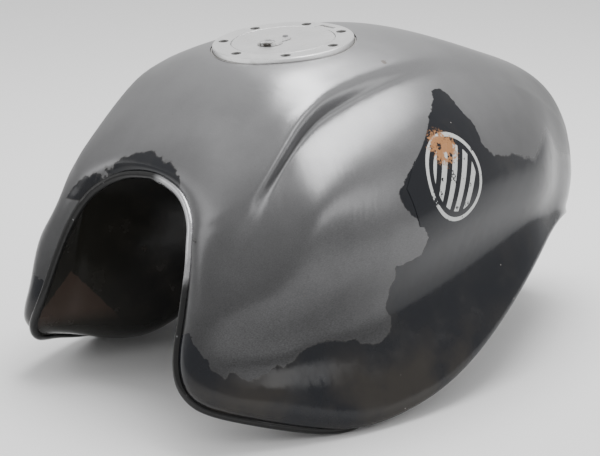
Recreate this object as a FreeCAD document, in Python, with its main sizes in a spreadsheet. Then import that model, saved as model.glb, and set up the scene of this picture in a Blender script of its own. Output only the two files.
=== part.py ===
import FreeCAD, Part
import os
import re
from math import cos, radians, sin
from FreeCAD import Placement, Rotation, Vector

# Steel fuel tank of a mid-size motorcycle, +X forward, +Y left, +Z up, millimetres.
# Two pressings (outer shell and bottom pan) meet in a rolled hem round the front arch and
# the bottom edge. A seven-screw flush filler ring carries the hinged, locking lid.

SIZES = {
    "skin": 1.2, "hem_r": 3.8, "hem_bite": 0.5,
    "cap_x": 65.0, "cap_z": 302.0, "cap_tilt": 5.5,
    "ring_r": 62.5, "ring_in_r": 46.4, "lip_in_r": 42.0, "ring_thick": 6.5, "lip_top": 4.2,
    "hole_pcd": 107.0, "screw_hole_r": 2.7, "counterbore_r": 4.6, "counterbore_deep": 4.6,
    "head_r": 4.25, "head_thick": 3.4, "socket_r": 2.0, "socket_deep": 2.2, "shank_r": 2.45, "screw_long": 9.6,
    "gasket_thick": 1.3, "gasket_r": 62.0, "gasket_in_r": 49.0,
    "flange_thick": 1.2, "lip_r": 64.2, "lip_rise": 2.8, "cup_r": 49.7, "cup_deep": 28.0,
    "throat_r": 27.2, "throat_in_r": 26.0, "throat_top": 14.0, "throat_deep": 46.0, "shell_hole_r": 64.6,
    "nut_r": 3.6, "nut_bore_r": 2.52, "nut_thick": 4.0,
    "lid_r": 46.0, "lid_plate": 3.9, "boss_r": 41.4, "boss_deep": 6.4, "lock_x": 15.0,
    "pin_x": -51.0, "pin_z": -1.95, "pin_r": 1.0, "pin_long": 28.0, "barrel_r": 1.9, "barrel_wide": 18.0,
    "notch_wide": 18.8, "notch_back": -55.0,
    "housing_r": 40.0, "housing_top": 6.5, "housing_low": 11.6, "lock_r": 8.0, "lock_bore_r": 8.15,
    "bolt_y": 12.0, "bolt_wide": 6.5, "bolt_thick": 2.9, "bolt_top": 7.2, "bolt_tip": 36.6, "yoke_x": -8.0,
    "yoke_long": 5.0, "bolt_travel": 6.0, "slot_gap": 0.12,
    "plate_r": 38.5, "plate_low": 12.8, "seal_r": 31.0, "seal_in_r": 20.0, "seal_low": 13.7,
    "plate_screw_r": 1.9, "plate_screw_pcd": 69.0,
    "cover_pin_x": -3.0, "cover_low": 0.35, "cover_thick": 2.0, "cover_r": 11.0, "cover_eye_r": 5.0,
    "tube_r": 3.0, "tube_in_r": 2.2, "ferrule_r": 3.4, "ferrule_long": 8.0, "tube_x": -36.0, "tube_y": 16.0, "tube_low": 153.0,
    "tap_u": 0.66, "tap_v": 0.945, "tap_plate_r": 21.8, "tap_plate_thick": 4.0,
    "tap_hole_r": 9.5, "tap_body_r": 17.0, "tap_body_long": 26.0, "tap_gasket": 1.5,
    "tap_screw_pcd": 34.0, "tap_screw_r": 2.4, "barb_r": 4.0, "barb_in_r": 2.6, "barb_long": 18.0, "barb_collar_r": 5.5,
    "strainer_r": 7.5, "strainer_long": 42.0, "lever_long": 26.0,
    "cup_x": 44.0, "cup_z": 112.0, "mount_cup_r": 17.0, "mount_cup_long": 15.0, "mount_cup_wall": 1.6,
    "cushion_r": 15.1, "cushion_bore_r": 7.0, "cushion_long": 12.0,
    "tail_x": -214.0, "tail_z": 78.0, "tail_wide": 34.0, "tail_plate": 2.5, "bush_r": 11.0, "bush_long": 14.0,
    "collar_r": 6.0, "bolt_bore_r": 4.2, "collar_long": 16.0,
    "baffle_x": -35.0, "baffle_thick": 1.0,
    "emblem_lift": 0.12, "emblem_thick": 0.25,
    "base_x": 8.0, "base_z": -4.5,
}

RING_HOLES = 7
PLATE_SCREWS = 3

# Design lines of the outer shell, left half, from the arch (front) to the tail. The surface
# passes through these stations; the right half is the mirror image.
SHELL_LINES = {
    "crown": [(210, 0, 212), (201, 0, 220), (185, 0, 238), (169, 0, 256), (153, 0, 271), (137, 0, 285),
              (116, 0, 295), (62, 0, 300), (8, 0, 306), (-50, 0, 301), (-110, 0, 284), (-170, 0, 263),
              (-230, 0, 240), (-270, 0, 205), (-290, 0, 150)],
    "crown_side": [(212, 36, 209), (203, 42, 218), (186, 51, 236), (169, 55, 254), (153, 57, 268),
                   (136, 58, 281), (113, 58, 292), (60, 60, 299), (6, 44, 303), (-51, 36, 298),
                   (-111, 34, 281), (-171, 32, 259), (-230, 28, 233), (-269, 24, 200), (-289, 20, 149)],
    "shoulder": [(218, 62, 201), (209, 74, 210), (189, 86, 229), (169, 90, 246), (149, 91, 264),
                 (128, 89, 275), (106, 86, 285), (56, 79, 291), (3, 70, 294), (-53, 58, 291),
                 (-113, 52, 277), (-172, 46, 254), (-228, 42, 224), (-265, 36, 192), (-284, 32, 146)],
    "ridge": [(227, 80, 187), (219, 99, 196), (194, 111, 215), (170, 114, 237), (143, 111, 261),
              (119, 107, 272), (98, 103, 277), (50, 94, 283), (-2, 86, 286), (-55, 74, 283),
              (-114, 66, 268), (-173, 60, 245), (-224, 52, 215), (-261, 44, 184), (-279, 38, 142)],
    "cheek": [(231, 84, 179), (223, 104, 186), (199, 116, 203), (171, 113, 220), (143, 108, 242),
              (120, 103, 254), (97, 99, 261), (52, 94, 269), (0, 90, 276), (-53, 83, 274), (-113, 78, 258),
              (-172, 71, 237), (-221, 59, 208), (-259, 48, 179), (-277, 40, 139)],
    "valley": [(236, 89, 171), (228, 109, 176), (205, 120, 190), (177, 118, 207), (150, 114, 229),
               (125, 108, 242), (100, 105, 250), (54, 101, 260), (2, 95, 268), (-52, 91, 266),
               (-112, 86, 252), (-171, 78, 232), (-219, 64, 203), (-257, 51, 176), (-276, 42, 137)],
    "upper_flank": [(244, 97, 152), (237, 114, 155), (210, 122, 165), (190, 141, 177), (167, 152, 197),
                    (139, 151, 211), (108, 146, 221), (62, 140, 230), (10, 132, 240), (-48, 123, 240),
                    (-108, 112, 228), (-167, 96, 211), (-212, 75, 188), (-252, 58, 166), (-272, 46, 131)],
    "belly": [(251, 102, 131), (247, 121, 132), (223, 137, 138), (199, 152, 146), (176, 160, 160),
              (147, 165, 172), (118, 167, 180), (72, 166, 188), (20, 160, 196), (-41, 149, 200),
              (-102, 133, 194), (-160, 112, 184), (-204, 86, 168), (-245, 67, 150), (-267, 51, 123)],
    "low_belly": [(258, 107, 109), (253, 125, 108), (229, 137, 112), (204, 151, 117), (181, 159, 123),
                  (153, 165, 130), (126, 169, 137), (82, 170, 143), (30, 166, 151), (-32, 156, 158),
                  (-92, 141, 158), (-148, 123, 154), (-193, 96, 144), (-234, 76, 133), (-259, 56, 115)],
    "tuck": [(265, 110, 86), (257, 126, 84), (232, 134, 81), (207, 142, 80), (184, 146, 83), (156, 150, 87),
             (130, 153, 91), (86, 155, 95), (34, 153, 103), (-24, 147, 113), (-80, 138, 122),
             (-134, 124, 130), (-182, 102, 128), (-224, 83, 122), (-251, 61, 109)],
    "skirt": [(269, 116, 66), (259, 132, 63), (236, 145, 58), (210, 157, 54), (187, 164, 51),
              (159, 171, 48), (130, 177, 45), (87, 181, 45), (36, 180, 54), (-18, 172, 73), (-70, 159, 96),
              (-121, 140, 112), (-168, 112, 117), (-212, 90, 115), (-244, 64, 103)],
    "edge": [(265, 122, 52), (252, 136, 46), (228, 150, 38), (204, 160, 30), (181, 169, 23), (155, 178, 16),
             (126, 185, 10), (88, 188, 9), (37, 187, 19), (-14, 180, 41), (-65, 167, 68), (-115, 147, 93),
             (-161, 122, 106), (-204, 96, 108), (-249, 63, 98)],
}

# Centre line of the rolled hem: round the arch, along the bottom edge, across the tail.
HEM_LINES = {
    "arch_hem": [(209, 0, 203), (211, 33, 199), (217, 54, 190), (224, 68, 179), (228, 73, 172), (232, 77, 165),
                 (239, 84, 148), (246, 88, 130), (253, 92, 110), (261, 95, 87), (266, 101, 68),
                 (266, 107, 56), (261, 113, 46)],
    "edge_hem": [(253, 119, 39), (240, 129, 33), (218, 143, 26), (196, 152, 19), (174, 160, 13),
                 (151, 167, 9), (124, 170, 10), (88, 166, 25), (39, 157, 48), (-11, 145, 68),
                 (-61, 129, 86), (-111, 110, 100), (-157, 90, 107), (-200, 71, 105), (-232, 52, 96)],
    "tail_hem": [(-272, 0, 82), (-271, 15, 82), (-269, 24, 82), (-266, 28, 83), (-264, 30, 83), (-262, 32, 84),
                 (-260, 33, 85), (-257, 35, 86), (-254, 37, 87), (-251, 39, 88), (-248, 41, 89),
                 (-245, 43, 91), (-241, 46, 93)],
}

# Sections of the bottom pan: x on the centre plane, tunnel height, tunnel half width, keel height.
PAN_SECTIONS = {
    "pan_x": [200, 190, 176, 160, 146, 130, 110, 60, 8, -50, -110, -170, -215, -245, -262],
    "pan_top": [203, 203, 202, 200, 197, 193, 188, 176, 162, 150, 139, 128, 119, 112, 104],
    "pan_wall": [93, 90, 87, 84, 82, 80, 78, 73, 67, 61, 56, 51, 46, 41, 38],
    "pan_keel": [52, 44, 35, 26, 19, 16, 22, 44, 64, 82, 98, 110, 115, 112, 106],
}
# across the pan: share of the tunnel half width, share of the drop from tunnel top to keel
TUNNEL_SHAPE = [(0.0, 0.0), (0.36, 0.0), (0.62, 0.02), (0.82, 0.07), (0.92, 0.15), (0.98, 0.27), (1.0, 0.42),
                (1.02, 0.6), (1.05, 0.78), (1.1, 0.92)]
KEEL_SHAPE = [0.36, 0.72]

EMBLEM_OUTLINE = [(60, 167), (68, 200), (54, 214), (30, 229), (6, 246), (-16, 228), (-40, 198), (-56, 164), (20, 157)]


def fill_sheet(doc):
    """Every size and station goes into the spreadsheet under its own alias."""
    sheet = doc.addObject("Spreadsheet::Sheet", "sizes")
    cells = dict(SIZES)
    for lines in (SHELL_LINES, HEM_LINES):
        for name, stations in lines.items():
            for number, station in enumerate(stations):
                for axis, value in zip("xyz", station):
                    cells[f"{name}_{axis}_{number}"] = value
    for name, values in PAN_SECTIONS.items():
        for number, value in enumerate(values):
            cells[f"{name}_{number}"] = value
    for row, (alias, value) in enumerate(cells.items(), 1):
        sheet.set(f"A{row}", alias)
        sheet.set(f"B{row}", str(value))
        sheet.setAlias(f"B{row}", alias)
    doc.recompute()
    return sheet


def station(sheet, line, number):
    return Vector(*(sheet.get(f"{line}_{axis}_{number}") for axis in "xyz"))


def line_points(sheet, line, lines):
    return [station(sheet, line, number) for number in range(len(lines[line]))]


# ---------------------------------------------------------------- surfaces from stations

def mirrored(point):
    return Vector(point.x, -point.y, point.z)


def push_out(points, before=None, after=None):
    """Poles of a cubic spline that passes close to the given points."""
    padded = [before] + list(points) + [after]
    result = []
    for number, point in enumerate(points, 1):
        if padded[number - 1] is None or padded[number + 1] is None:
            result.append(point)
        else:
            result.append(point - (padded[number - 1] - point * 2 + padded[number + 1]) / 6)
    return result


def pole_grid(rows):
    """Left-half stations -> full-width poles, symmetric about the centre plane."""
    columns = [push_out(column) for column in zip(*rows)]
    rows = [push_out(row, before=mirrored(row[1])) for row in zip(*columns)]
    for row in rows:
        row[0] = Vector(row[0].x, 0, row[0].z)
    return [[mirrored(point) for point in row[:0:-1]] + row for row in rows]


def knots(count):
    spans = count - 3
    return [number / spans for number in range(spans + 1)], [4] + [1] * (spans - 1) + [4]


def surface(poles):
    u_knots, u_mults = knots(len(poles))
    v_knots, v_mults = knots(len(poles[0]))
    result = Part.BSplineSurface()
    result.buildFromPolesMultsKnots(poles, u_mults, v_mults, u_knots, v_knots, False, False, 3, 3)
    return result


def greville(count):
    values, mults = knots(count)
    full = [value for value, mult in zip(values, mults) for _ in range(mult)]
    return [min(max(sum(full[number + 1:number + 4]) / 3, 1e-4), 1 - 1e-4) for number in range(count)]


def offset_poles(poles, distance):
    """Poles moved along the surface normal, which keeps a thin skin even."""
    base = surface(poles)
    us, vs = greville(len(poles)), greville(len(poles[0]))
    return [[poles[i][j] + base.normal(u, v) * distance for j, v in enumerate(vs)]
            for i, u in enumerate(us)]


def boundary_edges(skin):
    return [skin.uIso(0.0).toShape(), skin.uIso(1.0).toShape(),
            skin.vIso(0.0).toShape(), skin.vIso(1.0).toShape()]


def sheet_solid(poles, thickness, lift=0.0):
    """A pressed sheet: the pole surface, its offset and the four narrow edges between them."""
    near = surface(offset_poles(poles, lift) if lift else poles)
    far = surface(offset_poles(poles, lift + thickness))
    faces = [near.toShape(), far.toShape()]
    faces += [Part.makeRuledSurface(one, two)
              for one, two in zip(boundary_edges(near), boundary_edges(far))]
    shell = Part.makeShell(faces)
    shell.sewShape()
    solid = Part.makeSolid(shell)
    if solid.Volume < 0:
        solid.reverse()
    return solid


def toward(start, target, distance):
    return start + (target - start).normalize() * distance


def hem_ends(sheet, rows, reach):
    """Stations inside the arch hem and the tail hem, for the two ends of a pressing."""
    for line, row in (("arch_hem", rows[0]), ("tail_hem", rows[-1])):
        targets = row[:-1] + [row[-2]]
        yield [toward(hem, near, reach) for hem, near in zip(line_points(sheet, line, HEM_LINES), targets)]


def shell_rows(sheet):
    """Stations of the outer shell, ending just outside the hem on three sides."""
    reach = sheet.get("hem_r") - sheet.get("hem_bite")
    lines = [line_points(sheet, name, SHELL_LINES) for name in SHELL_LINES]
    rows = [list(row) for row in zip(*lines)]
    edge_hem = line_points(sheet, "edge_hem", HEM_LINES)
    for row, hem in zip(rows, edge_hem):
        row.append(toward(hem, row[-1], reach))
    first, last = hem_ends(sheet, rows, reach)
    return [first] + rows + [last]


def pan_rows(sheet):
    """Stations of the bottom pan: tunnel, tunnel wall, keel, then out to the hem."""
    reach = sheet.get("hem_r") - sheet.get("hem_bite")
    edge_hem = line_points(sheet, "edge_hem", HEM_LINES)
    rows = []
    for number, hem in enumerate(edge_hem):
        x, top, wall, keel = (sheet.get(f"{name}_{number}") for name in PAN_SECTIONS)
        row = []
        for column, (across, drop) in enumerate(TUNNEL_SHAPE):
            share = column / (len(TUNNEL_SHAPE) + len(KEEL_SHAPE))
            row.append(Vector(x + (hem.x - x) * share, wall * across, top - (top - keel) * drop))
        foot = row[-1]
        for column, share in enumerate(KEEL_SHAPE):
            along = (len(TUNNEL_SHAPE) + column) / (len(TUNNEL_SHAPE) + len(KEEL_SHAPE))
            across = foot.y + (hem.y - foot.y) * share
            row.append(Vector(x + (hem.x - x) * along, across, keel + (hem.z - keel) * share * 0.8))
        row.append(toward(hem, row[-1], reach))
        rows.append(row)
    first, last = hem_ends(sheet, rows, reach)
    return [first] + rows + [last]


def hem_solid(sheet):
    """The rolled hem as one rod that follows the arch, the bottom edge and the tail."""
    arch = line_points(sheet, "arch_hem", HEM_LINES)
    side = line_points(sheet, "edge_hem", HEM_LINES)
    tail = line_points(sheet, "tail_hem", HEM_LINES)[::-1]
    front, rear = arch[0], tail[-1]
    square_on = Vector(0, 9, 0)
    half = [front, front + square_on] + arch[1:] + side + tail[1:-2:3] + [rear + square_on, rear]
    poles = push_out(half)
    poles[1] = Vector(front.x, poles[1].y, front.z)
    poles[-2] = Vector(rear.x, poles[-2].y, rear.z)
    curve = Part.BSplineCurve()
    curve.buildFromPoles(poles)
    ring = Part.Wire([Part.makeCircle(sheet.get("hem_r"), front, Vector(0, 1, 0))])
    left = Part.Wire([curve.toShape()]).makePipeShell([ring], True, False)
    return left.fuse(left.mirror(Vector(), Vector(0, 1, 0)))


# ---------------------------------------------------------------- parametric building blocks

def expr(text):
    """Put the sheet name in front of every alias in an expression."""
    word = re.compile(r"[a-z_]\w*")
    return word.sub(lambda match: f"sizes.{match[0]}" if match[0] in SIZES else match[0], str(text))


def bind(item, **links):
    for name, text in links.items():
        item.setExpression(name.replace("__", "."), expr(text))
    return item


def at(item, x=0, y=0, z=0):
    return bind(item, Placement__Base__x=x, Placement__Base__y=y, Placement__Base__z=z)


def cylinder(doc, name, radius, low, high, x=0, y=0):
    item = doc.addObject("Part::Cylinder", name)
    bind(item, Radius=radius, Height=f"({high}) - ({low})")
    return at(item, x, y, low)


def cross_cylinder(doc, name, radius, left, right, x, z):
    """A cylinder lying along Y."""
    item = doc.addObject("Part::Cylinder", name)
    bind(item, Radius=radius, Height=f"({right}) - ({left})")
    item.Placement = Placement(Vector(), Rotation(Vector(1, 0, 0), -90))
    return at(item, x, left, z)


def box(doc, name, x, y, z):
    """A box from three (low, high) pairs."""
    item = doc.addObject("Part::Box", name)
    bind(item, Length=f"({x[1]}) - ({x[0]})", Width=f"({y[1]}) - ({y[0]})", Height=f"({z[1]}) - ({z[0]})")
    return at(item, x[0], y[0], z[0])


def fuse(doc, name, items):
    item = doc.addObject("Part::MultiFuse", name)
    item.Shapes = items
    return item


def group(doc, name, items):
    item = doc.addObject("Part::Compound", name)
    item.Links = items
    return item


def cut(doc, name, base, tools):
    item = doc.addObject("Part::Cut", name)
    item.Base = base
    item.Tool = tools[0] if len(tools) == 1 else fuse(doc, name + "_tools", tools)
    return item


def tube(doc, name, outer, inner, low, high, x=0, y=0):
    solid = cylinder(doc, name + "_outer", outer, low, high, x, y)
    bore = cylinder(doc, name + "_bore", inner, f"{low} - 1", f"{high} + 1", x, y)
    return cut(doc, name, solid, [bore])


def pressed(doc, name, shape):
    item = doc.addObject("Part::Feature", name)
    item.Shape = shape
    return item


def finish(item, label, frame=None):
    """Name a finished piece and put it where it belongs."""
    item.Label = label
    if frame is not None:
        item.Placement = frame
    return item


def round_positions(count, pcd, start=0.0):
    for number in range(count):
        angle = start + 360.0 / count * number
        yield number, f"{pcd} / 2 * cos({angle:.4f} deg)", f"{pcd} / 2 * sin({angle:.4f} deg)"


def array(doc, name, count, pcd, maker, start=0.0):
    """Make one item per position round a pitch circle."""
    return [maker(f"{name}_{number}", x, y) for number, x, y in round_positions(count, pcd, start)]


# ---------------------------------------------------------------- filler, in the cap's own frame

def filler_neck(doc, cap):
    gasket_low = "-ring_thick - gasket_thick"
    flange_low = f"{gasket_low} - flange_thick"
    rim_top = f"{gasket_low} + lip_rise"
    parts = [tube(doc, "neck_flange", "lip_r", "cup_r - flange_thick", flange_low, gasket_low),
             tube(doc, "neck_lip", "lip_r", "lip_r - flange_thick", f"{gasket_low} - 4.2", rim_top),
             tube(doc, "neck_cup", "cup_r", "cup_r - flange_thick", "-cup_deep", gasket_low),
             tube(doc, "neck_floor", "cup_r", "throat_r + 0.05", "-cup_deep", "-cup_deep + flange_thick")]
    holes = array(doc, "neck_hole", RING_HOLES, "hole_pcd",
                  lambda name, x, y: cylinder(doc, name, "screw_hole_r", f"{flange_low} - 1", f"{gasket_low} + 1", x, y))
    for side in ("-1", "1"):
        holes.append(cylinder(doc, "floor_hole", "tube_in_r", "-cup_deep - 1", "-cup_deep + 3",
                              "tube_x", f"{side} * tube_y"))
    finish(cut(doc, "neck", fuse(doc, "neck_pressing", parts), holes), "filler_neck", cap)

    finish(tube(doc, "throat", "throat_r", "throat_in_r", "-throat_deep", "-throat_top"), "filler_throat", cap)

    nut_top = f"{flange_low} - 0.05"
    nuts = array(doc, "nut", RING_HOLES, "hole_pcd",
                 lambda name, x, y: tube(doc, name, "nut_r", "nut_bore_r", f"{nut_top} - nut_thick", nut_top, x, y))
    finish(group(doc, "nuts", nuts), "weld_nuts", cap)

    for side, name in (("1", "drain_tube"), ("-1", "breather_tube")):
        y = f"{side} * tube_y"
        pipe = tube(doc, name + "_pipe", "tube_r", "tube_in_r", "-tube_low", "-cup_deep - 0.05", "tube_x", y)
        ferrule = tube(doc, name + "_end", "ferrule_r", "tube_in_r", "-tube_low", "-tube_low + ferrule_long",
                       "tube_x", y)
        finish(fuse(doc, name + "_swaged", [pipe, ferrule]), name, cap)


def filler_ring(doc, cap):
    seat = "-ring_thick - gasket_thick"
    sheet_ring = tube(doc, "gasket_ring", "gasket_r", "gasket_in_r", f"{seat} + 0.03", "-ring_thick - 0.03")
    holes = array(doc, "gasket_hole", RING_HOLES, "hole_pcd",
                  lambda name, x, y: cylinder(doc, name, "screw_hole_r", f"{seat} - 1", "-ring_thick + 1", x, y))
    finish(cut(doc, "gasket", sheet_ring, holes), "ring_gasket", cap)

    body = fuse(doc, "ring_turned", [tube(doc, "ring_band", "ring_r", "ring_in_r", "-ring_thick", "0"),
                                     tube(doc, "ring_lip", "ring_in_r + 0.5", "lip_in_r", "-ring_thick", "-lip_top")])
    tools = array(doc, "ring_hole", RING_HOLES, "hole_pcd",
                  lambda name, x, y: cylinder(doc, name, "screw_hole_r", "-ring_thick - 1", "1", x, y))
    tools += array(doc, "ring_counterbore", RING_HOLES, "hole_pcd",
                   lambda name, x, y: cylinder(doc, name, "counterbore_r", "-counterbore_deep", "1", x, y))
    tools.append(box(doc, "hinge_notch", ("notch_back", "-lip_in_r + 1"),
                     ("-notch_wide / 2", "notch_wide / 2"), ("-ring_thick - 1", "1")))
    tools.append(cross_cylinder(doc, "hinge_bore", "pin_r + 0.02", "-pin_long / 2 - 0.1", "pin_long / 2 + 0.1",
                                "pin_x", "pin_z"))
    ring = cut(doc, "ring_cut", body, tools)
    doc.recompute()
    finish(chamfer_top(doc, "ring", ring, ("ring_r",), 0.8), "filler_ring", cap)

    def screw(name, x, y):
        seat_z = "-counterbore_deep + 0.03"
        head = cylinder(doc, name + "_head", "head_r", seat_z, f"{seat_z} + head_thick", x, y)
        shank = cylinder(doc, name + "_shank", "shank_r", f"{seat_z} - screw_long", f"{seat_z} + 0.5", x, y)
        socket = doc.addObject("Part::Prism", name + "_socket")
        bind(socket, Circumradius="socket_r", Height="socket_deep + 1")
        at(socket, x, y, f"{seat_z} + head_thick - socket_deep")
        return cut(doc, name, fuse(doc, name + "_blank", [head, shank]), [socket])
    finish(group(doc, "screws", array(doc, "screw", RING_HOLES, "hole_pcd", screw)), "ring_screws", cap)
    pin = cross_cylinder(doc, "pin_rod", "pin_r", "-pin_long / 2", "pin_long / 2", "pin_x", "pin_z")
    finish(group(doc, "pin", [pin]), "hinge_pin", cap)


def chamfer_top(doc, name, base, radii, size):
    """Chamfer the circular edges that lie on local z = 0 and have one of the named radii."""
    wanted = [SIZES[radius] for radius in radii]
    edges = []
    for number, edge in enumerate(base.Shape.Edges, 1):
        curve = edge.Curve
        flat = abs(edge.Vertexes[0].Z) < 1e-4
        if isinstance(curve, Part.Circle) and flat and any(abs(curve.Radius - one) < 1e-4 for one in wanted):
            edges.append((number, size, size))
    item = doc.addObject("Part::Chamfer", name)
    item.Base = base
    item.Edges = edges
    return item


# ---------------------------------------------------------------- lid and lock

def lid(doc, cap):
    disc = cylinder(doc, "lid_disc", "lid_r", "-lid_plate", "0")
    doc.recompute()
    plate = chamfer_top(doc, "lid_disc_edge", disc, ("lid_r",), 0.7)
    boss = cylinder(doc, "lid_boss", "boss_r", "-boss_deep", "-lid_plate")
    barrel = cross_cylinder(doc, "lid_barrel", "barrel_r", "-barrel_wide / 2", "barrel_wide / 2", "pin_x", "pin_z")
    web = box(doc, "lid_web", ("pin_x", "-lid_r + 2"), ("-barrel_wide / 2", "barrel_wide / 2"),
              ("-lid_plate", "pin_z + barrel_r"))
    tools = [cylinder(doc, "lid_lock_bore", "lock_bore_r", "-boss_deep - 1", "1", "lock_x"),
             cylinder(doc, "lid_pin_hole", "1.55", "-3.1", "1", "cover_pin_x"),
             cross_cylinder(doc, "lid_hinge_bore", "pin_r + 0.04", "-pin_long / 2", "pin_long / 2",
                            "pin_x", "pin_z")]
    finish(cut(doc, "lid", fuse(doc, "lid_blank", [plate, boss, barrel, web]), tools), "cap_lid", cap)

    housing = cylinder(doc, "housing_block", "housing_r", "-housing_low", "-housing_top")
    slot_z = ("-bolt_top - bolt_thick - slot_gap", "-bolt_top + slot_gap")
    back = "yoke_x - 0.3"
    tools = [cylinder(doc, "housing_bore", "lock_bore_r", "-housing_low - 1", "0", "lock_x"),
             box(doc, "yoke_slot", (back, "yoke_x + yoke_long + bolt_travel + 0.2"),
                 ("-bolt_y - bolt_wide / 2 - slot_gap", "bolt_y + bolt_wide / 2 + slot_gap"), slot_z)]
    for side in ("-1", "1"):
        tools.append(box(doc, "bolt_slot", (back, "housing_r + 1"),
                         (f"{side} * bolt_y - bolt_wide / 2 - slot_gap",
                          f"{side} * bolt_y + bolt_wide / 2 + slot_gap"), slot_z))
    tools += array(doc, "housing_hole", PLATE_SCREWS, "plate_screw_pcd",
                   lambda name, x, y: cylinder(doc, name, "1.5", "-housing_low - 1", "-housing_low + 4.5", x, y), 60)
    finish(cut(doc, "housing", housing, tools), "lock_housing", cap)

    disc = cylinder(doc, "plate_disc", "plate_r", "-plate_low", "-housing_low - 0.05")
    holes = [cylinder(doc, "plate_lock_hole", "lock_r + 0.5", "-plate_low - 1", "0", "lock_x")]
    holes += array(doc, "plate_hole", PLATE_SCREWS, "plate_screw_pcd",
                  lambda name, x, y: cylinder(doc, name, "1.6", "-plate_low - 1", "-housing_low + 1", x, y), 60)
    finish(cut(doc, "plate", disc, holes), "under_plate", cap)

    def screw(name, x, y):
        head = cylinder(doc, name + "_head", "plate_screw_r + 1", "-plate_low - 1.4", "-plate_low - 0.03", x, y)
        shank = cylinder(doc, name + "_shank", "1.45", "-plate_low - 0.5", "-housing_low + 4", x, y)
        return fuse(doc, name, [head, shank])
    finish(group(doc, "plate_screw_set", array(doc, "plate_screw", PLATE_SCREWS, "plate_screw_pcd", screw, 60)),
           "plate_screws", cap)
    finish(tube(doc, "seal", "seal_r", "seal_in_r", "-seal_low", "-plate_low - 0.05"), "lid_seal", cap)


def lock(doc, cap):
    barrel = cylinder(doc, "lock_barrel", "lock_r", "-housing_low + 0.1", "-1.6", "lock_x")
    keyway = box(doc, "keyway", ("lock_x - 0.8", "lock_x + 0.8"), ("-4.2", "4.2"), ("-9", "0"))
    finish(cut(doc, "lock_turned", barrel, [keyway]), "lock_cylinder", cap)

    z = ("-bolt_top - bolt_thick", "-bolt_top")
    inner = "bolt_y - bolt_wide / 2"
    bar = box(doc, "yoke_bar", ("yoke_x", "yoke_x + yoke_long"), (f"-({inner}) + 0.05", f"{inner} - 0.05"), z)
    finish(group(doc, "yoke", [bar]), "latch_yoke", cap)
    for side, name in (("1", "latch_bolt_left"), ("-1", "latch_bolt_right")):
        blank = box(doc, name + "_bar", ("yoke_x", "bolt_tip"),
                    (f"{side} * bolt_y - bolt_wide / 2", f"{side} * bolt_y + bolt_wide / 2"), z)
        finish(group(doc, name, [blank]), name, cap)

    shaft = cylinder(doc, "cover_shaft", "1.5", "-2.9", "cover_low + cover_thick + 0.1", "cover_pin_x")
    head = cylinder(doc, "cover_head", "2.5", "cover_low + cover_thick + 0.05", "cover_low + cover_thick + 0.7",
                    "cover_pin_x")
    finish(fuse(doc, "cover_rivet", [shaft, head]), "key_cover_pin", cap)

    top = "cover_low + cover_thick"
    blank = fuse(doc, "cover_blank", [cylinder(doc, "cover_disc", "cover_r", "cover_low", top, "lock_x"),
                                      cylinder(doc, "cover_eye", "cover_eye_r", "cover_low", top, "cover_pin_x"),
                                      box(doc, "cover_web", ("cover_pin_x", "lock_x"),
                                          ("-cover_eye_r", "cover_eye_r"), ("cover_low", top))])
    tools = [cylinder(doc, "cover_hole", "1.6", "-1", f"{top} + 1", "cover_pin_x"),
             cylinder(doc, "cover_scoop", "cover_r - 4", "cover_low + 0.7", f"{top} + 1", "lock_x + 3")]
    finish(cut(doc, "cover", blank, tools), "key_cover", cap)


# ---------------------------------------------------------------- bottom pan fittings

def surface_frame(poles, u, v):
    """Frame on a pressing: origin on its outer face, z into the tank, x roughly forward."""
    skin = surface(poles)
    inward = skin.normal(u, v) * -1
    if inward.z < 0:
        inward = inward * -1
    across = inward.cross(Vector(1, 0, 0)).normalize()
    forward = across.cross(inward)
    return Placement(skin.value(u, v), Rotation(forward, across, inward, "XYZ"))


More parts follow.
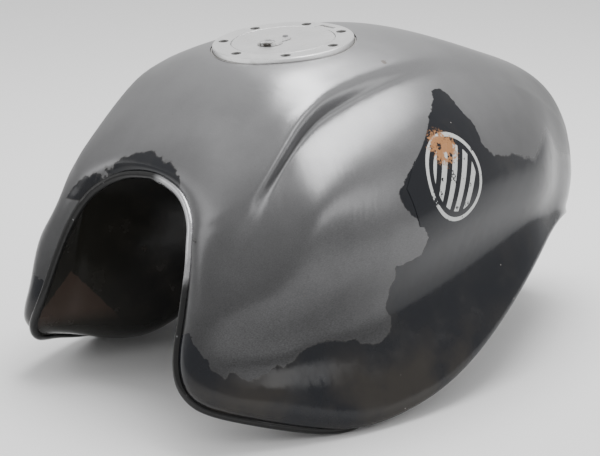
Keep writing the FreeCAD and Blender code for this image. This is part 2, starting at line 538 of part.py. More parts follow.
def fuel_tap(doc, tap):
    """Weld plate, gasket, tap body with outlet barb, lever, strainer and two screws."""
    plate_low = "-tap_plate_thick + 1.5"
    gasket_low = f"{plate_low} - tap_gasket"
    screw_holes = array(doc, "tap_plate_hole", 2, "tap_screw_pcd",
                        lambda name, x, y: cylinder(doc, name, "tap_screw_r", "-20", "10", x, y), 90)
    tools = [cylinder(doc, "tap_plate_bore", "tap_hole_r", "-20", "10")] + screw_holes
    plate = cylinder(doc, "tap_plate_disc", "tap_plate_r", plate_low, "1.5")
    finish(cut(doc, "tap_plate_cut", plate, tools), "tap_plate", tap)
    finish(tube(doc, "tap_gasket_ring", "tap_hole_r + 3.4", "tap_hole_r", f"{gasket_low} + 0.03",
                f"{plate_low} - 0.03"), "tap_gasket", tap)

    top = gasket_low
    low = f"{top} - tap_body_long"
    ears = box(doc, "tap_ears", ("-7", "7"), ("-tap_screw_pcd / 2 - 6", "tap_screw_pcd / 2 + 6"),
               (f"{top} - 5", top))
    body = fuse(doc, "tap_blank", [cylinder(doc, "tap_drum", "tap_body_r - 4", low, top), ears,
                                   cylinder(doc, "tap_spigot", "strainer_r - 1.4", f"{top} - 1", "8"),
                                   lying_cylinder(doc, "tap_barb", "barb_r", "-tap_body_r - barb_long",
                                                  "0", f"{low} + 8"),
                                   lying_cylinder(doc, "tap_barb_collar", "barb_collar_r", "-tap_body_r",
                                                  "0", f"{low} + 8")])
    tools = array(doc, "tap_ear_hole", 2, "tap_screw_pcd",
                  lambda name, x, y: cylinder(doc, name, "tap_screw_r", f"{top} - 8", f"{top} + 2", x, y), 90)
    tools.append(cylinder(doc, "tap_bore", "3", f"{low} + 6", "12"))
    drilled = cut(doc, "tap_drilled", body, tools)
    drilled = cut(doc, "tap_piped", drilled, [lying_cylinder(doc, "tap_barb_bore", "barb_in_r",
                                                             "-tap_body_r - barb_long - 1", "0", f"{low} + 8")])
    spool_bore = cross_cylinder(doc, "tap_spool_bore", "5.55", "3.2", "tap_body_r + 2", "0", f"{low} + 8")
    finish(cut(doc, "tap_cut", drilled, [spool_bore]), "tap_body", tap)

    spool = cross_cylinder(doc, "tap_spool", "5.5", "3.4", "tap_body_r + 1", "0", f"{low} + 8")
    knob = cross_cylinder(doc, "tap_knob", "8", "tap_body_r - 3.5", "tap_body_r + 1", "0", f"{low} + 8")
    handle = box(doc, "tap_handle", ("-4", "4"), ("tap_body_r - 2.5", "tap_body_r + 0.5"),
                 (f"{low} + 8 - lever_long", f"{low} + 8"))
    finish(fuse(doc, "tap_lever_solid", [spool, knob, handle]), "tap_lever", tap)

    def screw(name, x, y):
        head = cylinder(doc, name + "_head", "4", f"{top} - 8.5", f"{top} - 5.03", x, y)
        shank = cylinder(doc, name + "_shank", "tap_screw_r - 0.1", f"{top} - 7", "1", x, y)
        return fuse(doc, name, [head, shank])
    finish(group(doc, "tap_screw_pair", array(doc, "tap_screw", 2, "tap_screw_pcd", screw, 90)), "tap_screws", tap)
    gauze = tube(doc, "gauze", "strainer_r", "strainer_r - 1.2", "2.2", "strainer_long")
    lid_disc = cylinder(doc, "gauze_top", "strainer_r", "strainer_long - 0.1", "strainer_long + 1.5")
    finish(fuse(doc, "gauze_cup", [gauze, lid_disc]), "tap_strainer", tap)


def lying_cylinder(doc, name, radius, rear, front, z):
    """A cylinder lying along X."""
    item = doc.addObject("Part::Cylinder", name)
    bind(item, Radius=radius, Height=f"({front}) - ({rear})")
    item.Placement = Placement(Vector(), Rotation(Vector(0, 1, 0), 90))
    return at(item, rear, 0, z)


def front_mounts(doc, frames):
    """Cups let into the tunnel walls, open to the tunnel, each with a rubber cushion."""
    for name, frame in frames.items():
        low, high = "-mount_cup_long", "5"
        cup = cut(doc, f"cup_{name}", cylinder(doc, f"cup_{name}_outer", "mount_cup_r", low, high),
                  [cylinder(doc, f"cup_{name}_bore", "mount_cup_r - mount_cup_wall", f"{low} - 1",
                            f"{high} - mount_cup_wall")])
        finish(cup, f"mount_cup_{name}", frame)
        top = f"{high} - mount_cup_wall - 0.1"
        finish(tube(doc, f"cushion_{name}_ring", "cushion_r", "cushion_bore_r", f"{top} - cushion_long", top),
               f"mount_rubber_{name}", frame)


def rear_mount(doc):
    """Bracket slotted into the pan, with rubber bush and steel collar for one vertical bolt."""
    frame = Placement(Vector(SIZES["tail_x"], 0, SIZES["tail_z"]), Rotation())
    half = "tail_wide / 2"
    cheeks = [box(doc, "tail_cheek", ("-17", "17"), (f"{side} * ({half} - tail_plate / 2) - tail_plate / 2",
                                                    f"{side} * ({half} - tail_plate / 2) + tail_plate / 2"),
                  ("0", "40")) for side in ("-1", "1")]
    plate = box(doc, "tail_floor", ("-17", "17"), (f"-{half}", half), ("0", "tail_plate"))
    seat = cylinder(doc, "tail_bore", "bush_r - 2.5", "-1", "tail_plate + 1")
    finish(cut(doc, "tail_bracket", fuse(doc, "tail_blank", [plate] + cheeks), [seat]), "rear_bracket", frame)
    middle = "tail_plate / 2"
    spool = tube(doc, "bush_spool", "bush_r", "collar_r", f"{middle} - bush_long / 2", f"{middle} + bush_long / 2")
    groove = tube(doc, "bush_groove", "bush_r + 1", "bush_r - 2.6", "-0.05", "tail_plate + 0.05")
    finish(cut(doc, "bush", spool, [groove]), "rear_bush", frame)
    finish(tube(doc, "collar", "collar_r - 0.03", "bolt_bore_r", f"{middle} - collar_long / 2",
                f"{middle} + collar_long / 2"), "rear_collar", frame)


def pan_cutters(doc, cap, tap, frames):
    """Everything that is let into the bottom pan, slightly oversize."""
    tools = []
    for side in ("-1", "1"):
        pipe = cylinder(doc, "pipe_hole", "tube_r + 0.1", "-tube_low - 5", "-tube_low + 60", "tube_x",
                        f"{side} * tube_y")
        tools.append(finish(group(doc, "pipe_cutter", [pipe]), "pipe_cutter", cap))
    tap_hole = cylinder(doc, "tap_hole", "tap_plate_r + 0.1", "-25", "25")
    tools.append(finish(group(doc, "tap_cutter", [tap_hole]), "tap_cutter", tap))
    for name, frame in frames.items():
        hole = cylinder(doc, f"cup_hole_{name}", "mount_cup_r + 0.1", "-12", "12")
        tools.append(finish(group(doc, f"cup_cutter_{name}", [hole]), "cup_cutter", frame))
    for side in ("-1", "1"):
        middle = f"{side} * (tail_wide / 2 - tail_plate / 2)"
        tools.append(box(doc, "cheek_slot", ("tail_x - 17.1", "tail_x + 17.1"),
                         (f"{middle} - tail_plate / 2 - 0.1", f"{middle} + tail_plate / 2 + 0.1"),
                         ("tail_z", "tail_z + 60")))
    return tools


def baffle(doc, sheet, pan_solid):
    """Slosh plate standing on the tunnel, shaped by the pan itself, with three flow holes."""
    x, thick = sheet.get("baffle_x"), sheet.get("baffle_thick")
    plate = Part.makeBox(thick, 124, 130, Vector(x, -62, 130)).cut(pan_solid)
    plate = max(plate.Solids, key=lambda solid: solid.CenterOfMass.z)
    for y in (-38, 0, 38):
        plate = plate.cut(Part.makeCylinder(14, 4 * thick, Vector(x - thick, y, 218), Vector(1, 0, 0)))
    finish(pressed(doc, "baffle_plate", plate), "baffle")


def emblems(doc, sheet, poles):
    """A thin sticker on each flank: the shell's own surface, lifted and trimmed to the outline."""
    lift, thick = sheet.get("emblem_lift"), sheet.get("emblem_thick")
    patch = sheet_solid(poles, -thick, -lift)
    outline = [Vector(x, 0, z) for x, z in EMBLEM_OUTLINE]
    prism = Part.Face(Part.makePolygon(outline + outline[:1])).extrude(Vector(0, 300, 0))
    left = patch.common(prism).Solids[0]
    finish(pressed(doc, "emblem_one", left), "emblem_left")
    finish(pressed(doc, "emblem_two", left.mirror(Vector(0, 0, 0), Vector(0, 1, 0))), "emblem_right")


# ---------------------------------------------------------------- assembly

def build():
    doc = FreeCAD.newDocument("fuel_tank")
    sheet = fill_sheet(doc)
    cap = Placement(Vector(SIZES["cap_x"], 0, SIZES["cap_z"]), Rotation(Vector(0, 1, 0), SIZES["cap_tilt"]))
    skin = sheet.get("skin")
    shell_poles = pole_grid(shell_rows(sheet))
    pan_poles = pole_grid(pan_rows(sheet))

    shell_skin = pressed(doc, "shell_skin", sheet_solid(shell_poles, skin))
    opening = cylinder(doc, "filler_hole", "shell_hole_r", "-25", "20")
    opening = finish(group(doc, "filler_cutter", [opening]), "filler_cutter", cap)
    finish(cut(doc, "shell", shell_skin, [opening]), "outer_shell")

    tap = surface_frame(pan_poles, sheet.get("tap_u"), sheet.get("tap_v"))
    inward = Rotation(Vector(0, 0, 1), Vector(0, 1, 0))
    frames = {"left": Placement(Vector(SIZES["cup_x"], 72, SIZES["cup_z"]), inward),
              "right": Placement(Vector(SIZES["cup_x"], -72, SIZES["cup_z"]), inward.inverted())}
    pan_skin = pressed(doc, "pan_skin", sheet_solid(pan_poles, -skin))
    finish(cut(doc, "pan", pan_skin, pan_cutters(doc, cap, tap, frames)), "bottom_pan")
    finish(pressed(doc, "hem", hem_solid(sheet)), "rim_hem")

    filler_neck(doc, cap)
    filler_ring(doc, cap)
    lid(doc, cap)
    lock(doc, cap)
    fuel_tap(doc, tap)
    front_mounts(doc, frames)
    rear_mount(doc)
    baffle(doc, sheet, pan_skin.Shape)
    emblems(doc, sheet, shell_poles)
    doc.recompute()
    return doc


NODES = ["outer_shell", "bottom_pan", "rim_hem", "filler_neck", "filler_throat", "weld_nuts", "drain_tube", "breather_tube",
         "ring_gasket", "filler_ring", "ring_screws", "hinge_pin", "cap_lid", "lock_housing", "under_plate",
         "plate_screws", "lid_seal", "lock_cylinder", "latch_yoke", "latch_bolt_left", "latch_bolt_right",
         "key_cover_pin", "key_cover", "tap_plate", "tap_gasket", "tap_body", "tap_lever", "tap_screws",
         "tap_strainer", "mount_cup_left", "mount_cup_right", "mount_rubber_left", "mount_rubber_right",
         "rear_bracket", "rear_bush", "rear_collar", "baffle", "emblem_left", "emblem_right"]


def export(doc):
    """Check every object, shift to the base frame and write one file per piece."""
    for item in doc.Objects:
        if {"Invalid", "Error"} & set(item.State):
            raise RuntimeError(f"{item.Name}: {item.State}")
    os.makedirs("parts", exist_ok=True)
    shift = Vector(SIZES["base_x"], 0, SIZES["base_z"])
    for name in NODES:
        item = doc.getObjectsByLabel(name)[0]
        shape = item.Shape.copy()
        if shape.isNull() or not shape.isValid() or not shape.Solids:
            raise RuntimeError(f"{name}: bad shape")
        shape.translate(shift)
        shape.exportStep(f"parts/{name}.step")
        box_ = shape.BoundBox
        print(f"{name}: {len(shape.Solids)} solids, {shape.Volume:.0f} mm3, "
              f"x {box_.XMin:.1f}..{box_.XMax:.1f} y {box_.YMin:.1f}..{box_.YMax:.1f} "
              f"z {box_.ZMin:.1f}..{box_.ZMax:.1f}")


export(build())
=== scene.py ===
from math import pi, radians

import bpy
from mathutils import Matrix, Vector


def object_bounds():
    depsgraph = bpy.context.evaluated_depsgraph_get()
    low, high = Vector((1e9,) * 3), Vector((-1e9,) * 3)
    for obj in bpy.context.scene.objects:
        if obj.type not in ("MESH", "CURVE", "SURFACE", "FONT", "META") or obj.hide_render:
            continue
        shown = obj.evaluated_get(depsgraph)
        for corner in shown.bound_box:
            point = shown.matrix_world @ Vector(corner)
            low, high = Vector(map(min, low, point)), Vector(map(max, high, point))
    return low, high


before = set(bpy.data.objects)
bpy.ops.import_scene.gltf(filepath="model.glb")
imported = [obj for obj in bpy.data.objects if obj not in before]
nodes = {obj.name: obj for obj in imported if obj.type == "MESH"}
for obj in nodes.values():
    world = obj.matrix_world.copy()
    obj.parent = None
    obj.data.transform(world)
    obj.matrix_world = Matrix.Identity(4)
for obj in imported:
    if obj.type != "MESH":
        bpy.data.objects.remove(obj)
cad_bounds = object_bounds()

# ------------------------------------------------------------------ node tree helper

class Tree:
    """Short calls for building one material's nodes. Sockets and numbers mix freely."""

    def __init__(self, name):
        self.material = bpy.data.materials.new(name)
        self.material.use_nodes = True
        self.nodes = self.material.node_tree.nodes
        self.links = self.material.node_tree.links
        self.shader = self.nodes["Principled BSDF"]
        self.point = self.add("ShaderNodeTexCoord").outputs["Object"]
        split = self.add("ShaderNodeSeparateXYZ", Vector=self.point)
        self.x, self.y, self.z = split.outputs[0], split.outputs[1], split.outputs[2]

    def add(self, kind, settings=None, **inputs):
        node = self.nodes.new(kind)
        for name, value in (settings or {}).items():
            setattr(node, name, value)
        for name, value in inputs.items():
            self.feed(node.inputs[name.replace("_", " ")], value)
        return node

    def feed(self, socket, value):
        if isinstance(value, bpy.types.NodeSocket):
            self.links.new(value, socket)
        else:
            socket.default_value = value

    def math(self, operation, *values, clamp=False):
        node = self.nodes.new("ShaderNodeMath")
        node.operation = operation
        node.use_clamp = clamp
        for socket, value in zip(node.inputs, values):
            self.feed(socket, value)
        return node.outputs[0]

    def plus(self, *values):
        total = values[0]
        for value in values[1:]:
            total = self.math("ADD", total, value)
        return total

    def times(self, one, two):
        return self.math("MULTIPLY", one, two)

    def minus(self, one, two):
        return self.math("SUBTRACT", one, two)

    def highest(self, *values):
        top = values[0]
        for value in values[1:]:
            top = self.math("MAXIMUM", top, value)
        return top

    def step(self, value, low, high):
        """0 below low, 1 above high, smooth between."""
        node = self.add("ShaderNodeMapRange", {"interpolation_type": "SMOOTHSTEP"}, Value=value)
        node.inputs["From Min"].default_value = low
        node.inputs["From Max"].default_value = high
        return node.outputs["Result"]

    def noise(self, scale, detail=3.0, rough=0.55, stretch=(1, 1, 1), signed=True):
        place = self.add("ShaderNodeMapping", Vector=self.point, Scale=stretch)
        node = self.add("ShaderNodeTexNoise", Vector=place.outputs[0], Scale=scale, Detail=detail,
                        Roughness=rough)
        value = node.outputs["Fac"]
        return self.minus(value, 0.5) if signed else value

    def profile(self, value, points):
        """A function given as (position, result) pairs."""
        lows = [min(pair[k] for pair in points) for k in (0, 1)]
        spans = [max(pair[k] for pair in points) - lows[k] or 1.0 for k in (0, 1)]
        share = self.math("DIVIDE", self.minus(value, lows[0]), spans[0], clamp=True)
        node = self.add("ShaderNodeFloatCurve", Value=share)
        curve = node.mapping.curves[0]
        pairs = [((p - lows[0]) / spans[0], (r - lows[1]) / spans[1]) for p, r in sorted(points)]
        curve.points[0].location, curve.points[1].location = pairs[0], pairs[-1]
        for pair in pairs[1:-1]:
            curve.points.new(*pair)
        for point in curve.points:
            point.handle_type = "VECTOR"
        node.mapping.update()
        return self.plus(self.times(node.outputs[0], spans[1]), lows[1])

    def mix(self, share, one, two):
        """Blend two numbers."""
        node = self.add("ShaderNodeMix", {"data_type": "FLOAT"})
        for socket, value in zip((node.inputs[0], node.inputs[2], node.inputs[3]), (share, one, two)):
            self.feed(socket, value)
        return node.outputs[0]

    def blend(self, share, one, two):
        """Blend two colours."""
        node = self.add("ShaderNodeMix", {"data_type": "RGBA"})
        for socket, value in zip((node.inputs[0], node.inputs[6], node.inputs[7]), (share, one, two)):
            self.feed(socket, value if isinstance(value, bpy.types.NodeSocket) else colour(value))
        return node.outputs[2]

    def bump(self, height, distance, strength=1.0):
        node = self.add("ShaderNodeBump", Height=height, Distance=distance, Strength=strength)
        self.links.new(node.outputs[0], self.shader.inputs["Normal"])

    def set(self, **inputs):
        for name, value in inputs.items():
            name = name.replace("_", " ")
            if name == "Base Color" and not isinstance(value, bpy.types.NodeSocket):
                value = colour(value)
            self.feed(self.shader.inputs[name], value)
        return self


def colour(value):
    if isinstance(value, (int, float)):
        value = (value, value, value)
    return (*value, 1.0) if len(value) == 3 else value


# ------------------------------------------------------------------ paint map, row frame, metres

# bare steel gets darker downwards and lighter at the top: painted shade and painted light (height, tone)
STEEL_SHADE_BY_HEIGHT = [(0.04, 0.05), (0.10, 0.07), (0.16, 0.12), (0.22, 0.20), (0.27, 0.32), (0.31, 0.40)]
# small dents and chips in the bare steel
DENTS = [(-0.059, 0.141, 0.125), (0.086, 0.159, 0.106), (0.082, 0.175, 0.056), (0.030, 0.084, 0.286)]
RUST_AT_RING = (0.102, 0.036, 0.287)

# black paint is left below this height (position along the tank, height)
LOWER_EDGE = [(-0.30, 0.055), (0.08, 0.07), (0.096, 0.072), (0.110, 0.069), (0.127, 0.070), (0.130, 0.076),
              (0.166, 0.080), (0.176, 0.077), (0.202, 0.063), (0.207, 0.067), (0.220, 0.062),
              (0.234, 0.060), (0.246, 0.068), (0.254, 0.063), (0.262, 0.072), (0.267, 0.090),
              (0.271, 0.116), (0.29, 0.12)]
# and behind this line round the emblem (height, position along the tank)
EMBLEM_EDGE = [(0.05, 0.096), (0.072, 0.096), (0.084, 0.089), (0.094, 0.096), (0.123, 0.090), (0.131, 0.094),
               (0.135, 0.060), (0.152, 0.055), (0.165, 0.067), (0.183, 0.085), (0.193, 0.086),
               (0.202, 0.076), (0.224, 0.037), (0.242, 0.014), (0.258, -0.012), (0.262, -0.06)]
# while it stays below this one towards the tail (position along the tank, height)
TAIL_EDGE = [(-0.30, 0.13), (-0.20, 0.165), (-0.174, 0.193), (-0.156, 0.194), (-0.123, 0.181),
             (-0.078, 0.195), (-0.060, 0.194), (-0.048, 0.199), (-0.036, 0.210), (-0.034, 0.229), (-0.028, 0.236),
             (-0.026, 0.250), (-0.012, 0.262), (0.10, 0.28)]


def paint_distance(tree):
    """Metres inside the remaining black paint; negative on bare metal."""
    ragged = tree.plus(tree.times(tree.noise(55, 2), 0.010), tree.times(tree.noise(260, 2), 0.0035))
    ragged_too = tree.plus(tree.times(tree.noise(48, 2, stretch=(1.3, 1, 0.8)), 0.010),
                           tree.times(tree.noise(300, 2), 0.003))
    x, z = tree.plus(tree.x, ragged), tree.plus(tree.z, ragged_too)
    lower = tree.minus(tree.profile(x, LOWER_EDGE), z)
    beside = tree.minus(tree.profile(z, EMBLEM_EDGE), x)
    under = tree.minus(tree.profile(x, TAIL_EDGE), z)
    flank = tree.math("MINIMUM", beside, under)
    # a strip left along the arch: wide over its top, narrow down the right-hand side
    bow = tree.times(tree.math("POWER", tree.math("ABSOLUTE", tree.y), 2.0), 2.9)
    width = tree.profile(tree.y, [(-0.2, 0.0), (-0.06, 0.001), (-0.045, 0.004), (-0.02, 0.007),
                                  (0.012, 0.006), (0.036, 0.002), (0.045, -0.004), (0.2, -0.004)])
    arch = tree.minus(x, tree.minus(tree.plus(bow, 0.2165), width))
    arch = tree.math("MINIMUM", arch, tree.minus(tree.z, 0.165))
    return tree.highest(lower, flank, arch)


def specks(tree, scale, size, softness=0.03):
    """Scattered small spots: 1 in a spot."""
    node = tree.add("ShaderNodeTexVoronoi", Vector=tree.point, Scale=scale)
    return tree.minus(1.0, tree.step(node.outputs["Distance"], size, size + softness))


def spot(tree, centre, radius):
    """1 inside a small round patch of the surface."""
    offset = tree.add("ShaderNodeVectorMath", {"operation": "DISTANCE"})
    tree.links.new(tree.point, offset.inputs[0])
    offset.inputs[1].default_value = centre
    wobble = tree.times(tree.noise(500, 2), radius * 1.2)
    return tree.minus(1.0, tree.step(tree.plus(offset.outputs["Value"], wobble), radius * 0.7, radius))


def painted_shell(name):
    """Bare brushed steel showing through worn gloss black."""
    tree = Tree(name)
    distance = paint_distance(tree)
    fade = tree.mix(tree.step(tree.x, -0.07, -0.17), 0.00015, 0.010)
    black = tree.step(tree.math("DIVIDE", distance, fade), -1.0, 1.0)
    rim = tree.minus(1.0, tree.step(tree.math("ABSOLUTE", distance), 0.0002, 0.0012))
    cloud = tree.noise(9, 4)
    grain = tree.noise(1500, 2, stretch=(0.35, 1, 1))
    fine = tree.noise(5200, 1)
    # painted shade and light: the steel tone follows height, dark low down and light near the cap, with random
    # tone variation
    tone = tree.profile(tree.plus(tree.z, tree.times(cloud, 0.06)), STEEL_SHADE_BY_HEIGHT)
    steel = tree.plus(tone, tree.times(cloud, 0.05), tree.times(grain, 0.07))
    steel_rough = tree.plus(0.33, tree.times(tree.noise(30, 4), 0.10), tree.times(grain, 0.10))
    stain = tree.highest(spot(tree, RUST_AT_RING, 0.006), tree.times(specks(tree, 60, 0.02), 0.35))
    for place in DENTS:
        stain = tree.highest(stain, spot(tree, place, 0.0035))
    metal = tree.blend(tree.times(stain, 0.5), tree.add("ShaderNodeCombineColor", Red=steel, Green=steel,
                       Blue=tree.times(steel, 1.02)).outputs[0], (0.10, 0.06, 0.03))
    dust = tree.times(tree.step(tree.noise(40, 5, signed=False), 0.45, 0.75), 0.25)
    coat = tree.blend(dust, (0.006, 0.007, 0.010), (0.022, 0.020, 0.018))
    # brown patches low on the black paint: partly dust, partly a painted brownish sheen (reflection)
    low = tree.times(tree.step(tree.z, 0.085, 0.04), tree.step(tree.noise(16, 4, signed=False), 0.35, 0.65))
    coat = tree.blend(low, coat, (0.024, 0.021, 0.018))
    chips = tree.times(specks(tree, 95, 0.035), tree.step(tree.noise(12, 2), 0.02, 0.10))
    coat = tree.blend(chips, coat, (0.28, 0.26, 0.24))
    paint = tree.blend(black, metal, coat)
    paint = tree.blend(tree.times(rim, 0.35), paint, (0.06, 0.058, 0.055))
    tree.set(Base_Color=paint, Metallic=tree.minus(1.0, black), Specular_IOR_Level=0.3,
             Roughness=tree.mix(black, steel_rough, tree.plus(0.10, tree.times(dust, 0.6))))
    height = tree.plus(tree.times(black, 0.00012), tree.times(grain, 0.000012), tree.times(fine, 0.000006),
                       tree.times(chips, -0.0001))
    tree.bump(height, 1.0)
    return tree.material


def rust_patch(tree):
    """A brown triangle low on the inner wall of the right lobe, with its point upwards."""
    ragged = tree.times(tree.noise(160, 3), 0.006)
    slope = tree.times(tree.math("ABSOLUTE", tree.minus(tree.x, 0.240)), 1.1)
    inside = tree.minus(tree.minus(0.098, slope), tree.plus(tree.z, ragged))
    wall = tree.step(tree.y, -0.06, -0.07)
    return tree.times(tree.times(tree.step(inside, 0.0, 0.002), wall), tree.step(tree.z, 0.04, 0.06))


def gloss_black(name):
    """Gloss black with dust, rust bloom and fine scratches, dustier towards the front."""
    tree = Tree(name)
    dust = tree.step(tree.noise(35, 5, signed=False), 0.42, 0.72)
    rust = tree.step(tree.noise(22, 5, 0.65, signed=False), 0.60, 0.72)
    base = tree.blend(tree.times(dust, 0.5), 0.010, (0.030, 0.025, 0.020))
    base = tree.blend(tree.times(rust, 0.35), base, (0.055, 0.028, 0.014))
    rough = tree.plus(0.14, tree.times(dust, 0.16), tree.times(rust, 0.3))
    scratch = tree.noise(900, 2, stretch=(1, 1, 0.08))
    front = tree.step(tree.x, 0.10, 0.24)
    base = tree.blend(tree.times(front, 0.8), base, (0.018, 0.017, 0.014))
    base = tree.blend(rust_patch(tree), base, (0.045, 0.031, 0.024))
    tree.set(Base_Color=base, Roughness=rough, Specular_IOR_Level=0.3)
    tree.bump(tree.plus(tree.times(tree.noise(60, 3), 0.0002), tree.times(scratch, 0.00001)), 1.0)
    return tree.material


def hem_worn_and_highlit(name):
    """The rolled edge: black, with a painted highlight drawn as bright metal along its top on the left shoulder
    of the arch, and rubbed flecks of bare metal.
    """
    tree = Tree(name)
    wobble = tree.times(tree.noise(90, 3), 0.03)
    height = tree.plus(tree.z, wobble)
    # painted highlight: bright metal along the upward-facing top of the near side
    painted_highlight_top = tree.times(tree.step(height, 0.125, 0.155), tree.step(tree.y, 0.0, 0.02))
    flecks = tree.step(tree.noise(350, 3), 0.22, 0.27)
    # the bright metal is the painted highlight plus real rubbed flecks
    bare_and_highlight = tree.math("MAXIMUM", tree.times(painted_highlight_top, tree.step(tree.noise(120, 3), -0.26, -0.20)), flecks)
    tree.set(Base_Color=tree.blend(bare_and_highlight, 0.008, (0.48, 0.48, 0.49)), Metallic=bare_and_highlight, Specular_IOR_Level=0.3,
             Roughness=tree.mix(bare_and_highlight, 0.16, 0.30))
    tree.bump(tree.times(bare_and_highlight, -0.0001), 1.0)
    return tree.material


def alloy(name, tone=0.80, rough=0.30, lines=(1, 1, 1), wear=0.25, shadow_place=None):
    """Machined or brushed aluminium with handling marks and, where asked, one painted shadow in a hollow."""
    tree = Tree(name)
    grain = tree.noise(1800, 3, stretch=lines)
    cloud = tree.noise(45, 4)
    grime = tree.step(tree.noise(110, 5, 0.6, signed=False), 0.52, 0.70)
    base = tree.blend(tree.times(grime, wear), tone, (tone * 0.62, tone * 0.60, tone * 0.56))
    if shadow_place:
        # painted shadow: a dark spot in the hollow of the part
        base = tree.blend(spot(tree, shadow_place, 0.007), base, (0.05, 0.045, 0.04))
    tree.set(Base_Color=base, Metallic=0.85,
             Roughness=tree.plus(rough, tree.times(cloud, 0.12), tree.times(grain, 0.12),
                                 tree.times(grime, 0.12)))
    tree.bump(tree.plus(tree.times(grain, 0.00002), tree.times(grime, -0.00002)), 1.0)
    return tree.material


def plain_metal(name, base, rough):
    """Metal in one colour with darker stains."""
    tree = Tree(name)
    stain = tree.step(tree.noise(140, 5, signed=False), 0.5, 0.7)
    dark = tuple(channel * 0.55 for channel in base)
    tree.set(Base_Color=tree.blend(tree.times(stain, 0.5), base, dark), Metallic=1.0,
             Roughness=tree.plus(rough, tree.times(stain, 0.2)))
    tree.bump(tree.times(tree.noise(1200, 2), 0.00002), 1.0)
    return tree.material


def rubber(name):
    """Black rubber with a grey bloom."""
    tree = Tree(name)
    bloom = tree.step(tree.noise(150, 4, signed=False), 0.4, 0.75)
    tree.set(Base_Color=tree.blend(bloom, 0.014, 0.035), Roughness=tree.plus(0.55, tree.times(bloom, 0.25)))
    tree.bump(tree.times(tree.noise(1500, 2), 0.00004), 1.0)
    return tree.material


# middle of the roundel, seen from the side, and the patch rubbed through to primer
EMBLEM_X, EMBLEM_Z = 0.014, 0.193
PRIMER_PLACE = (0.018, 0.150, 0.222)


def worn_sticker(name):
    """A generic roundel with slanted bars, scuffed through to primer."""
    tree = Tree(name)
    u, v = tree.minus(tree.x, EMBLEM_X), tree.minus(tree.z, EMBLEM_Z)
    radius = tree.math("SQRT", tree.plus(tree.math("POWER", u, 2.0), tree.math("POWER", v, 2.0)))
    ring = tree.times(tree.step(radius, 0.0325, 0.033), tree.minus(1.0, tree.step(radius, 0.036, 0.0365)))
    slanted = tree.plus(u, tree.times(v, 0.6))
    bars = tree.step(tree.math("SINE", tree.times(slanted, 2 * pi / 0.014)), -0.1, 0.1)
    inside = tree.minus(1.0, tree.step(radius, 0.0275, 0.028))
    scuff = tree.step(tree.plus(tree.noise(70, 5, 0.7), tree.times(tree.noise(400, 3), 0.4)), -0.13, -0.09)
    light = tree.times(tree.math("MAXIMUM", ring, tree.times(bars, inside)), scuff)
    primer = tree.times(spot(tree, PRIMER_PLACE, 0.019), tree.step(tree.noise(150, 4), -0.12, -0.06))
    face = tree.blend(light, (0.006, 0.007, 0.010), (0.50, 0.51, 0.50))
    tree.set(Base_Color=tree.blend(primer, face, (0.36, 0.17, 0.07)),
             Roughness=tree.mix(light, 0.16, 0.42), Specular_IOR_Level=0.3)
    tree.bump(tree.times(light, 0.00005), 1.0)
    return tree.material


MATERIALS = {
    painted_shell("shell_paint"): ["outer_shell"],
    gloss_black("pan_paint"): ["bottom_pan", "mount_cup_left", "mount_cup_right", "rear_bracket",
                               "tap_plate"],
    hem_worn_and_highlit("hem_paint"): ["rim_hem"],
    alloy("ring_alloy", 0.86, 0.30): ["filler_ring"],
    alloy("lid_alloy", 0.74, 0.36, (0.1, 1, 1), 0.5): ["cap_lid"],
    # the key cover gets a painted shadow spot in its hollow
    alloy("cover_alloy", 0.74, 0.36, (0.1, 1, 1), 0.5, (0.094, 0.003, 0.2965)): ["key_cover"],
    alloy("cast_alloy", 0.45, 0.45): ["lock_housing", "tap_body"],
    plain_metal("bare_steel", (0.42, 0.41, 0.40), 0.38): ["filler_neck", "weld_nuts", "drain_tube",
                                                          "breather_tube", "baffle", "filler_throat"],
    plain_metal("plated_steel", (0.30, 0.30, 0.31), 0.30): [
        "hinge_pin", "under_plate", "plate_screws", "key_cover_pin", "latch_yoke",
        "latch_bolt_left", "latch_bolt_right", "rear_collar", "tap_screws", "tap_lever"],
    plain_metal("black_oxide", (0.035, 0.033, 0.03), 0.42): ["ring_screws"],
    plain_metal("brass", (0.62, 0.45, 0.20), 0.32): ["lock_cylinder", "tap_strainer"],
    rubber("black_rubber"): ["ring_gasket", "lid_seal", "mount_rubber_left", "mount_rubber_right",
                             "rear_bush", "tap_gasket"],
    worn_sticker("emblem_print"): ["emblem_left", "emblem_right"],
}
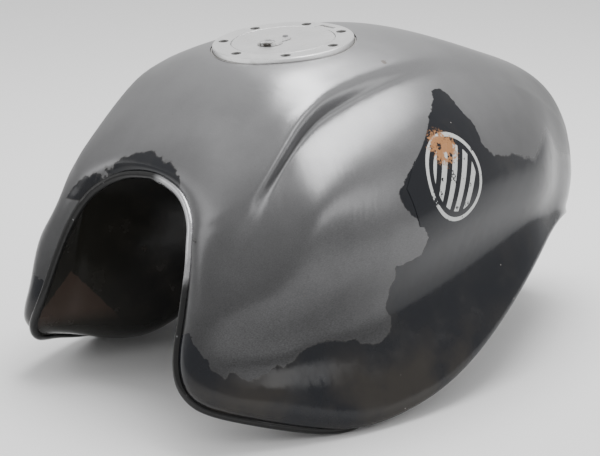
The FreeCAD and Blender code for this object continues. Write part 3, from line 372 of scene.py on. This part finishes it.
for material, names in MATERIALS.items():
    for name in names:
        slots = nodes[name].data.materials
        slots.clear()
        slots.append(material)

# ------------------------------------------------------------------ stage, light and camera

CAMERA_PLACE = (1.204, 1.310, 0.6345)
LOOK_DOWN, LOOK_ROUND = 16.4, 48.7
LENS, SENSOR_WIDTH = 120.0, 36.0


def stage_material(name, tone):
    """One plain matt tone."""
    tree = Tree(name)
    tree.set(Base_Color=tone, Roughness=0.9)
    return tree.material


def floor():
    """A wide pale floor just under the lowest point of the tank."""
    bpy.ops.mesh.primitive_plane_add(size=14, location=(0, 0, cad_bounds[0][2] - 0.0005))
    plane = bpy.context.object
    plane.name = "floor"
    plane.data.materials.append(stage_material("floor_white", 0.93))


def softbox(name, position, target, size, power):
    """A rectangular area light that faces its target."""
    light = bpy.data.lights.new(name, "AREA")
    light.shape = "RECTANGLE"
    light.size, light.size_y = size
    light.energy = power
    item = bpy.data.objects.new(name, light)
    bpy.context.scene.collection.objects.link(item)
    item.location = position
    item.rotation_euler = (Vector(target) - Vector(position)).to_track_quat("-Z", "Y").to_euler()
    return item


def camera():
    """Seen from the front left and a little above, with a long lens."""
    data = bpy.data.cameras.new("camera")
    data.lens = LENS
    data.sensor_width = SENSOR_WIDTH
    item = bpy.data.objects.new("camera", data)
    bpy.context.scene.collection.objects.link(item)
    item.location = CAMERA_PLACE
    item.rotation_euler = (radians(90 - LOOK_DOWN), 0, radians(90 + LOOK_ROUND))
    bpy.context.scene.camera = item


floor()
softbox("top_box", (-0.3, -0.1, 1.7), (0, 0, 0.2), (1.2, 1.2), 34)
softbox("front_box", (1.6, -1.2, 1.3), (0, 0, 0.2), (1.0, 1.0), 6)
softbox("side_box", (-0.6, 1.9, 1.3), (0, 0, 0.2), (1.4, 0.7), 8)
world = bpy.data.worlds.new("studio")
world.use_nodes = True
world.node_tree.nodes["Background"].inputs["Color"].default_value = (1, 1, 1, 1)
world.node_tree.nodes["Background"].inputs["Strength"].default_value = 0.85
bpy.context.scene.world = world
camera()
